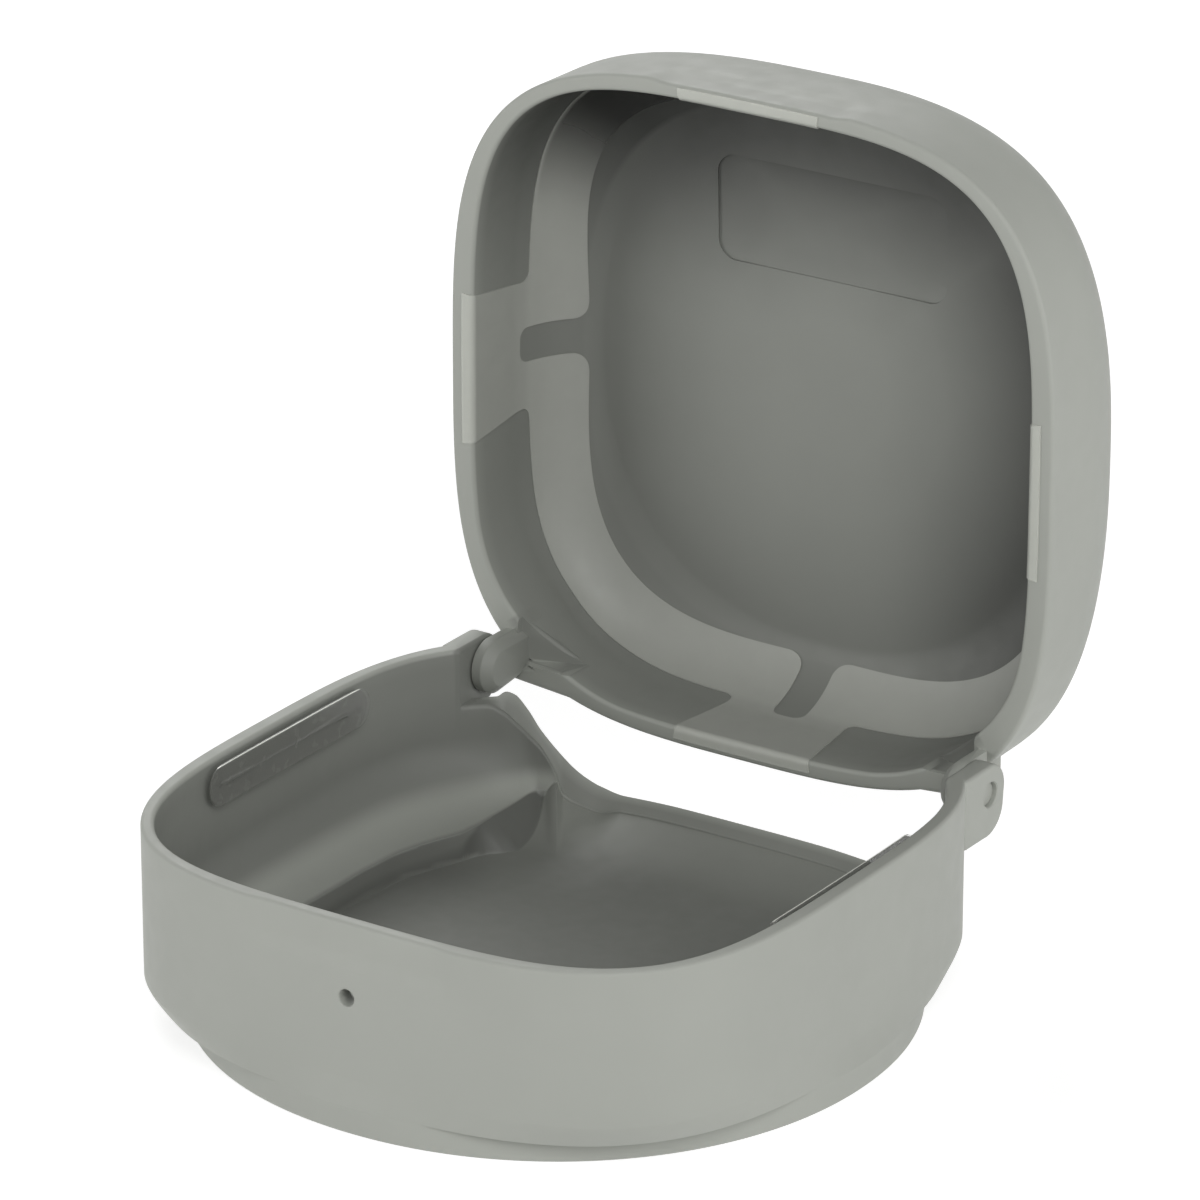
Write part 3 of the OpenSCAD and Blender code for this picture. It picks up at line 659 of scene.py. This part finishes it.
def panelSolid():  # the cutter for the ceiling's shallow panel follows the crown
    p, s = panel, lidShell
    discs = [(x, y, p["corner"]) for x in (-p["halfWidth"] + p["corner"], p["halfWidth"] - p["corner"])
             for y in (p["front"] + p["corner"], p["front"] + p["length"] - p["corner"])]
    x, y = discHull(discs, 0)
    mx, my, start = x.mean(), y.mean(), s["ceiling"] - p["below"]
    rings = [np.stack([x, y, 0 * x + start], -1), np.stack([x, y, ceilingHeight(x, y) - 0.3], -1)]
    for inset, rise in ((0, -0.05), (0.03, -0.015), (0.08, 0)):
        px, py = discHull(discs, inset)
        rings.append(np.stack([px, py, ceilingHeight(px, py) + p["depth"] + rise], -1))
    for k in (0.85, 0.65, 0.45, 0.25, 0.1):
        px, py = mx + (x - mx) * k, my + (y - my) * k
        rings.append(np.stack([px, py, ceilingHeight(px, py) + p["depth"]], -1))
    top = [mx, my, ceilingHeight(mx, my) + p["depth"]]
    return outward(closedSkin("panel", np.array(rings), [mx, my, start], top))


def makeLid():
    s, a, hy, hh = lidShell, arms, cover["hingeY"], cover["hingeH"]
    t = columnAngles(s["columns"], lambda f: 1 + 0 * f)
    ring = ringPoints(t, lidRows(t))
    skin = outward(closedSkin("lidSkin", ring, (0, 0, s["ceiling"] + s["crown"]), (0, 0, s["height"] + s["crown"])))
    work = []
    for side in (1, -1):  # room above the gusset, inside the rim's corner
        room = [(x * side, y, 0) for x, y in corners["room"]]
        work.append(("DIFFERENCE", sloped(plate("room", room, -1, 1, [(0, 0), (grid["farEnd"], 0)], 1, "z"))))
    deep, wide, r = a["bevelDepth"], a["bevel"], a["corner"]
    bevel = [(0, deep + 0.07), (0.03, deep + 0.005), (0.07, deep - 0.05), (wide - 0.05, 0.04), (wide, 0.008),
             (wide + 0.06, 0)]
    discs = [(hy, hh, a["radius"]), (hy + a["back"] - r, a["top"] - r, r), (hy - a["radius"] + r, a["top"] - r, r)]
    steps = bothEnds(bevel, rounding(a["edge"], 3))
    for side in (1, -1):
        arm = plate("arm", discs, a["inner"], a["outer"], steps, side)
        work += [("UNION", solid) for solid in (arm, cornerBlock(side), webSolid(side))]
    bore = [(a["inner"] + a["holeStart"], a["hole"]), (a["holeEnd"], a["hole"])]
    work += [("DIFFERENCE", turned("bore", bore, hy, hh, side)) for side in (1, -1)]
    work.append(("DIFFERENCE", panelSolid()))
    return carve(skin, work)


# Painted shade in the lid the same way: least at the middle of the ceiling, most at the wall's foot next to it, more
# on the front and side walls
lidTone = {"middle": 0.28, "edge": 0.49, "edgeMore": 0.45, "sideShare": 0.8, "middleSize": 0.35, "middleFade": 0.62,
           "power": 1.6, "rim": 0.36, "wall": 0.52, "wallFade": 8, "frontWall": 0.6, "sideWall": 0.34,
           "frontBlend": (100, 55), "sideBlend": (0.2, 0.7), "arm": 0.24, "armMore": 0.2}


def lidInside(t, r, h):
    d, k = lidShell, lidTone
    s = np.clip((h - d["shoulder"]) / (d["height"] - d["shoulder"]), 0, 1) ** (1 / d["power"])
    half = cover["lidHalf"] - d["turnIn"]
    size = 1 - d["shrink"] * (1 - (1 - s * s) ** (d["power"] / 2))
    out = squircle(t, half, half, mix(cover["squareness"], d["roundness"], s * s)) * size
    inner = soft((out - r - 0.8) / 0.4) * fade(h, 0.3, 0.35) * (h < d["ceiling"] + 0.85)
    front, side = fade(fold(t), *k["frontBlend"]), fade(np.sin(t), *k["sideBlend"])
    edge = np.maximum(front, k["sideShare"] * side)
    way = np.clip((r / lidInnerPoint(t, 1)[0] - k["middleSize"]) / k["middleFade"], 0, 1) ** (k["power"] - 0.6 * edge)
    ceiling = mix(k["middle"], k["edge"] + k["edgeMore"] * edge, way)
    wall = mix(k["rim"], k["wall"], np.clip(h / k["wallFade"], 0, 1))
    wall = wall + np.maximum(k["frontWall"] * front, k["sideWall"] * side)
    x = np.abs(r * np.sin(t))
    # painted shade on the arms' inner faces
    arm = (k["arm"] + k["armMore"] * fade(h, -0.5, 2)) * (x > 20) * (x < 21.0) * (r * np.cos(t) > 19.5) * (h < 2.4)
    return np.maximum(np.minimum(inner * np.where(h > d["ceiling"] - 0.6, ceiling, wall), 1), arm)


finishPiece("lidShell", makeLid(), "lid", "lid_shell", shellPlastic, isLid=True,
            share=("inside", lidInside))
print("lid shell is made")

# Hinge pins: short plain pins with a small rounded edge, set a little below the ear's face
pins = {"radius": 0.95, "start": 20.72, "end": 23.24, "edge": 0.09}
for side, name in ((-1, "hinge_pin_left"), (1, "hinge_pin_right")):
    e, r = pins["edge"], pins["radius"]
    profile = [(pins["start"] + d, r - f) for d, f in rounding(e, 4)]
    profile += [(pins["end"] - d, r - f) for d, f in reversed(rounding(e, 4))]
    finishPiece("pinLeft" if side < 0 else "pinRight", turned(name, profile, cover["hingeY"], cover["hingeH"], side),
                "base", name, pinPlastic)
print("pins are made")

# Clear tape in the lid: a ring in the cove with four tabs that fold over the rim. Its path goes over q from 0 to
# 1, with the lap on the rim up to lapEnd, the rounded edge up to turnEnd, the wall up to wallEnd, then the cove
lidTape = {"gap": 0.02, "thick": 0.09, "lap": 0.95, "tabAtRim": 6.15, "tabAtRing": 5.1, "ringLow": 0.2,
           "ringHigh": 0.8, "rearCut": 1.4, "frontCut": 1.75, "cutBlend": (60, 60), "slot": 1.43, "slotDepth": 5.9,
           "slotRound": 0.9, "slotFillet": 0.15, "fillet": 1.1, "flare": 1.5, "columns": 900, "rows": 96,
           "pathSteps": 4001, "lapEnd": 0.08, "turn": 0.04, "turnEnd": 0.12, "wall": 0.33, "wallEnd": 0.45,
           "cove": 0.55, "coveShare": 0.9, "meanRadius": 25, "moves": 6, "longestMove": 0.2, "probe": 0.02,
           "normalStep": 0.004}


# Radius and height at the share q of the path: on the lap, the edge and the wall, or with u above 0 in the cove
def tapePoints(t, q):
    s, l = lidShell, lidTape
    t, q = np.broadcast_arrays(t, q)
    ins, e, g = lidInnerPoint(t, 0)[0], s["innerEdge"], s["gap"]
    turn = np.clip((q - l["lapEnd"]) / l["turn"], 0, 1) * np.pi / 2
    r = ins + e * (1 - np.sin(turn)) + (l["lap"] - e) * np.clip(1 - q / l["lapEnd"], 0, 1)
    rise = (s["innerShoulder"] - g - e) * np.clip((q - l["turnEnd"]) / l["wall"], 0, 1)
    h = g + e * (1 - np.cos(turn)) + rise
    u = np.clip((q - l["wallEnd"]) / l["cove"], 0, 1) * l["coveShare"]
    cr, ch = lidInnerPoint(t, u)
    return np.where(u > 0, cr, r), np.where(u > 0, ch, h)


# Distance to the film's outline, below 0 inside it: the ring joined with the tabs, less the slots. reach(q) is
# the length along the path at the side
def tapeOutline(t, q, reach):
    l = lidTape
    r = tapePoints(t, q)[0]
    w = np.minimum(np.abs(r * np.sin(t)), np.abs(r * np.cos(t)))
    s = reach(q)
    corner = np.abs(np.sin(2 * t)) ** 2 * mix(l["rearCut"], l["frontCut"], fade(fold(t), *l["cutBlend"]))
    low, high = [reach(l["wallEnd"] + l["cove"] * u / l["coveShare"]) for u in (l["ringLow"], l["ringHigh"])]
    high = high - corner
    ring = np.maximum(low - s, s - high)
    tab = np.maximum(w - mix(l["tabAtRim"], l["tabAtRing"], np.clip(s / low, 0, 1)), s - (low + high) / 2)
    body = smoothLeast(ring, tab, l["fillet"])
    rr = l["slotRound"]
    end = reach(l["turnEnd"]) + l["slotDepth"]
    dx, ds = w - (l["slot"] - rr), (end + rr) - s
    slot = np.hypot(np.maximum(dx, 0), np.maximum(ds, 0)) + np.minimum(np.maximum(dx, ds), 0) - rr
    return -smoothLeast(-body, slot, l["flare"] * soft((s - low) / (high - low)) + l["slotFillet"])


# The film: two layers of a grid over angle and path length, with its edge vertices moved on to the outline
def makeLidTape():
    l = lidTape
    t = columnAngles(l["columns"], lambda f: 1 + 3.0 * (np.minimum(f % 90, 90 - f % 90) < 17))
    fine = np.linspace(0, 1, l["pathSteps"])
    r, h = tapePoints(np.full(len(fine), np.pi / 2), fine)
    length = np.concatenate([[0], np.cumsum(np.hypot(np.diff(r), np.diff(h)))])

    def reach(q):
        return np.interp(q, fine, length)

    def outline(t, s):
        return tapeOutline(t, np.interp(s, length, fine), reach)

    q = np.interp(np.linspace(0, length[-1], l["rows"]), length, fine)
    angle, q = np.meshgrid(t, q)
    f = tapeOutline(angle, q, reach)
    n, m = len(t), len(q)
    right = np.roll(np.arange(n), -1)
    keep = (f[:-1] + f[1:] + f[:-1][:, right] + f[1:][:, right]) / 4 < 0
    used = np.zeros((m, n), int)
    for di, dj in ((0, 0), (1, 0), (0, 1), (1, 1)):
        used[di:m - 1 + di] += np.roll(keep, dj, 1)
    edge = (used > 0) & (used < 4)
    edge[0] = edge[0] & (used[0] < 2)
    way, d, mean = reach(q), l["probe"], l["meanRadius"]
    for _ in range(l["moves"]):  # along the steepest way, in angle and path length
        f = outline(angle, way)
        ft = (outline(angle + d / mean, way) - outline(angle - d / mean, way)) / (2 * d)
        fs = (outline(angle, way + d) - outline(angle, way - d)) / (2 * d)
        step = np.where(edge, np.clip(f / np.maximum(ft ** 2 + fs ** 2, 0.05), -l["longestMove"], l["longestMove"]), 0)
        angle = angle - step * ft / mean
        way = np.clip(way - step * fs, 0, length[-1])
    q = np.interp(way, length, fine)
    layers = []
    for depth in (l["gap"], l["gap"] + l["thick"]):  # off the skin along the path's own normal
        r, h = tapePoints(angle, q)
        r1, h1 = tapePoints(angle, np.minimum(q + l["normalStep"], 1))
        r0, h0 = tapePoints(angle, np.maximum(q - l["normalStep"], 0))
        dr, dh = r1 - r0, h1 - h0
        size = np.maximum(np.hypot(dr, dh), 1e-9)
        r, h = r - depth * dh / size, h + depth * dr / size
        layers.append(np.stack([r * np.sin(angle), r * np.cos(angle), h], -1).reshape(-1, 3))
    i, j = np.nonzero(keep)
    k = right[j]
    a, b, c, d = i * n + j, i * n + k, (i + 1) * n + k, (i + 1) * n + j
    top = np.stack([a, b, c, d], -1)
    sides = []
    for (p0, p1), (si, sj) in (((a, b), (-1, 0)), ((b, c), (0, 1)), ((c, d), (1, 0)), ((d, a), (0, -1))):
        ni, nj = i + si, (j + sj) % n
        free = (ni < 0) | (ni >= m - 1) | ~keep[np.clip(ni, 0, m - 2), nj]
        sides.append(np.stack([p0[free], p1[free], p1[free] + m * n, p0[free] + m * n], -1)[:, ::-1])
    faces = np.concatenate([top + m * n, top[:, ::-1]] + sides)
    points = np.concatenate(layers)
    usedIds, faces = np.unique(faces, return_inverse=True)
    return outward(makeMesh("lidTape", points[usedIds], [faces.reshape(-1, 4)]))


# 0 on the laps over the rim, 0.5 on the tabs, 0.8 on the ring, and 1 for painted shade where the ring lies in the
# shaded front
def tapeHazeAndShade(t, r, h):
    return 0.5 * fade(h, 0.3, 0.3) + fade(h, 6.6, 1.2) * (0.3 + 0.2 * fade(fold(t), 112, 26))


finishPiece("lidTape", makeLidTape(), "lid", "lid_tape", lidFilm, isLid=True, crease=50,
            share=("haze", tapeHazeAndShade))
print("lid tape is made")

# Clear strips and their release liners on the two side walls of the base
strips = {"length": 20.0, "middle": 0.5, "height": 3.2, "drop": 0.42, "corner": 1.55, "gap": 0.02, "thick": 0.1,
          "linerGrow": 0.6, "linerThick": 0.08, "endX": 24.55, "bow": 0.5, "points": 240,
          "insets": (0, 0.06, 0.16, 0.3, 0.6, 0.9, 1.2, 1.5)}


# A thin sheet with rounded corners that follows the wall: the outline's rings shrink to its middle line
def wallSheet(name, side, off, thick, grow):
    s = strips
    half, tall, r = (s["length"] + grow) / 2, s["height"] / 2, s["corner"]
    walk = np.linspace(0, 1, s["points"], endpoint=False)
    flat = np.array([roundedLoop(half - d, tall - d, max(r - d, 0.02), walk) for d in s["insets"]])
    y, z = flat[..., 0] + s["middle"], flat[..., 1] - s["drop"] - tall
    x = s["endX"] - off + s["bow"] * (baseInnerX(y) - baseInnerX(half))
    near, far = np.stack([x * side, y, z], -1), np.stack([(x - thick) * side, y, z], -1)
    return capped(name, np.concatenate([near[::-1], far]))


def roundedLoop(w, h, r, walk):  # points at even shares of the way round a rounded rectangle
    a = np.linspace(0, np.pi / 2, 9)
    s, c = r * np.sin(a), r * np.cos(a)
    p = np.concatenate([np.stack([w - r + s, h - r + c], -1), np.stack([w - r + c, -h + r - s], -1),
                        np.stack([-w + r - s, -h + r - c], -1), np.stack([-w + r - c, h - r + s], -1)])
    p = np.concatenate([p, p[:1]])
    way = np.concatenate([[0], np.cumsum(np.hypot(*np.diff(p, axis=0).T))])
    return np.stack([np.interp(walk * way[-1], way, p[:, 0]), np.interp(walk * way[-1], way, p[:, 1])], -1)


def baseInnerX(y):  # half width of the base's inner outline at y
    (a, b), n = innerHalves, cover["innerSquareness"]
    return a * (1 - np.abs(y / b) ** n) ** (1 / n)


def paintedTopHighlight(t, r, h):  # painted highlight: 1 along the liner's top edge, fading just below it
    return soft((h + strips["drop"] + 0.1) / 0.08)


for side, word in ((-1, "Left"), (1, "Right")):
    end = word.lower()
    sheet = wallSheet("tape", side, strips["gap"], strips["thick"], 0)
    finishPiece("baseTape" + word, sheet, "base", "base_tape_" + end, stripFilm, crease=50)
    off = 2 * strips["gap"] + strips["thick"]
    sheet = wallSheet("liner", side, off, strips["linerThick"], strips["linerGrow"])
    finishPiece("baseLiner" + word, sheet, "base", "base_liner_" + end, linerFilm, crease=50,
                share=("haze", paintedTopHighlight))
print("strips are made")

# Floor, world and lamps. A lamp is its name, its turn from the front and its height in degrees, and its watts
light = {"world": 0.02, "table": 0.5, "tableSeen": 0.75, "tableWhite": 0.5, "tableRough": 0.9,
         "middle": (0, 0.005, 0.03), "distance": 0.7, "size": 0.4,
         "lamps": [("keyRight", 45, 40, 2.6), ("sideRight", 90, 8, 1.5), ("backRight", 135, 40, 0.2),
                   ("backLeft", 225, 40, 2.2), ("frontLeft", 315, 8, 2.0)]}


def addFloor():  # a disc of 4 m in rings round a polygon, glowing evenly and a little more where it is seen
    a = np.linspace(0, 2 * np.pi, grid["hull"], endpoint=False)
    rings = np.array([np.stack([r * np.sin(a), r * np.cos(a), 0 * a], -1) for r in (20, 60, 300, 4000)])
    n = len(a)
    i, j = np.meshgrid(np.arange(3), np.arange(n), indexing="ij")
    p, q = i * n + j, i * n + (j + 1) % n
    quads = np.stack([p, p + n, q + n, q], -1).reshape(-1, 4)
    mesh = makeMesh("floor", rings.reshape(-1, 3) / 1000, [quads, np.arange(n)[::-1][None]])
    floor = addObject("floor", mesh)
    material, tree, shader = newMaterial("paleFloor")
    setInputs(shader, {"Base Color": (*(light["tableWhite"],) * 3, 1), "Roughness": light["tableRough"],
                       "Specular IOR Level": 0})
    more = {1: light["tableSeen"] - light["table"], 2: light["table"]}
    scale, glow = addNode(tree, "Math", more, operation="MULTIPLY_ADD"), addNode(tree, "Emission")
    add = addNode(tree, "AddShader")
    link(tree, (seenRays(tree), scale.inputs[0]), (scale.outputs[0], glow.inputs["Strength"]),
         (shader.outputs[0], add.inputs[0]), (glow.outputs[0], add.inputs[1]),
         (add.outputs[0], tree.nodes["Material Output"].inputs["Surface"]))
    mesh.materials.append(material)


def seenRays(tree):  # 1 for the rays that show the background: from the camera, in gloss and through clear film
    path = addNode(tree, "LightPath")
    seen = path.outputs["Is Camera Ray"]
    for other in ("Is Glossy Ray", "Is Transmission Ray"):
        either = addNode(tree, "Math", operation="MAXIMUM")
        link(tree, (seen, either.inputs[0]), (path.outputs[other], either.inputs[1]))
        seen = either.outputs[0]
    return seen


def addWorld():  # white where it is seen, and a faint even light otherwise
    world = bpy.context.scene.world or bpy.data.worlds.new("world")
    bpy.context.scene.world = world
    world.use_nodes = True
    tree = world.node_tree
    tree.nodes.clear()
    lit, white = [addNode(tree, "Background", {"Strength": strength}) for strength in (light["world"], 1)]
    choose, out = addNode(tree, "MixShader"), addNode(tree, "OutputWorld")
    link(tree, (seenRays(tree), choose.inputs[0]), (lit.outputs[0], choose.inputs[1]),
         (white.outputs[0], choose.inputs[2]), (choose.outputs[0], out.inputs["Surface"]))


def addLamp(name, turn, lift, power):  # a soft square lamp that faces the cover's middle
    lamp = bpy.data.lights.new(name, "AREA")
    lamp.size, lamp.energy = light["size"], power
    obj = addObject(name, lamp)
    a, e = np.radians(turn), np.radians(lift)
    way = Vector((np.sin(a) * np.cos(e), -np.cos(a) * np.cos(e), np.sin(e)))
    place = Vector(light["middle"]) + way * light["distance"]
    obj.matrix_world = Matrix.Translation(place) @ (-way).to_track_quat("-Z", "Y").to_matrix().to_4x4()


addFloor()
addWorld()
for lampSettings in light["lamps"]:
    addLamp(*lampSettings)
print("stage is lit")

bpy.context.scene.view_settings.view_transform = "Standard"
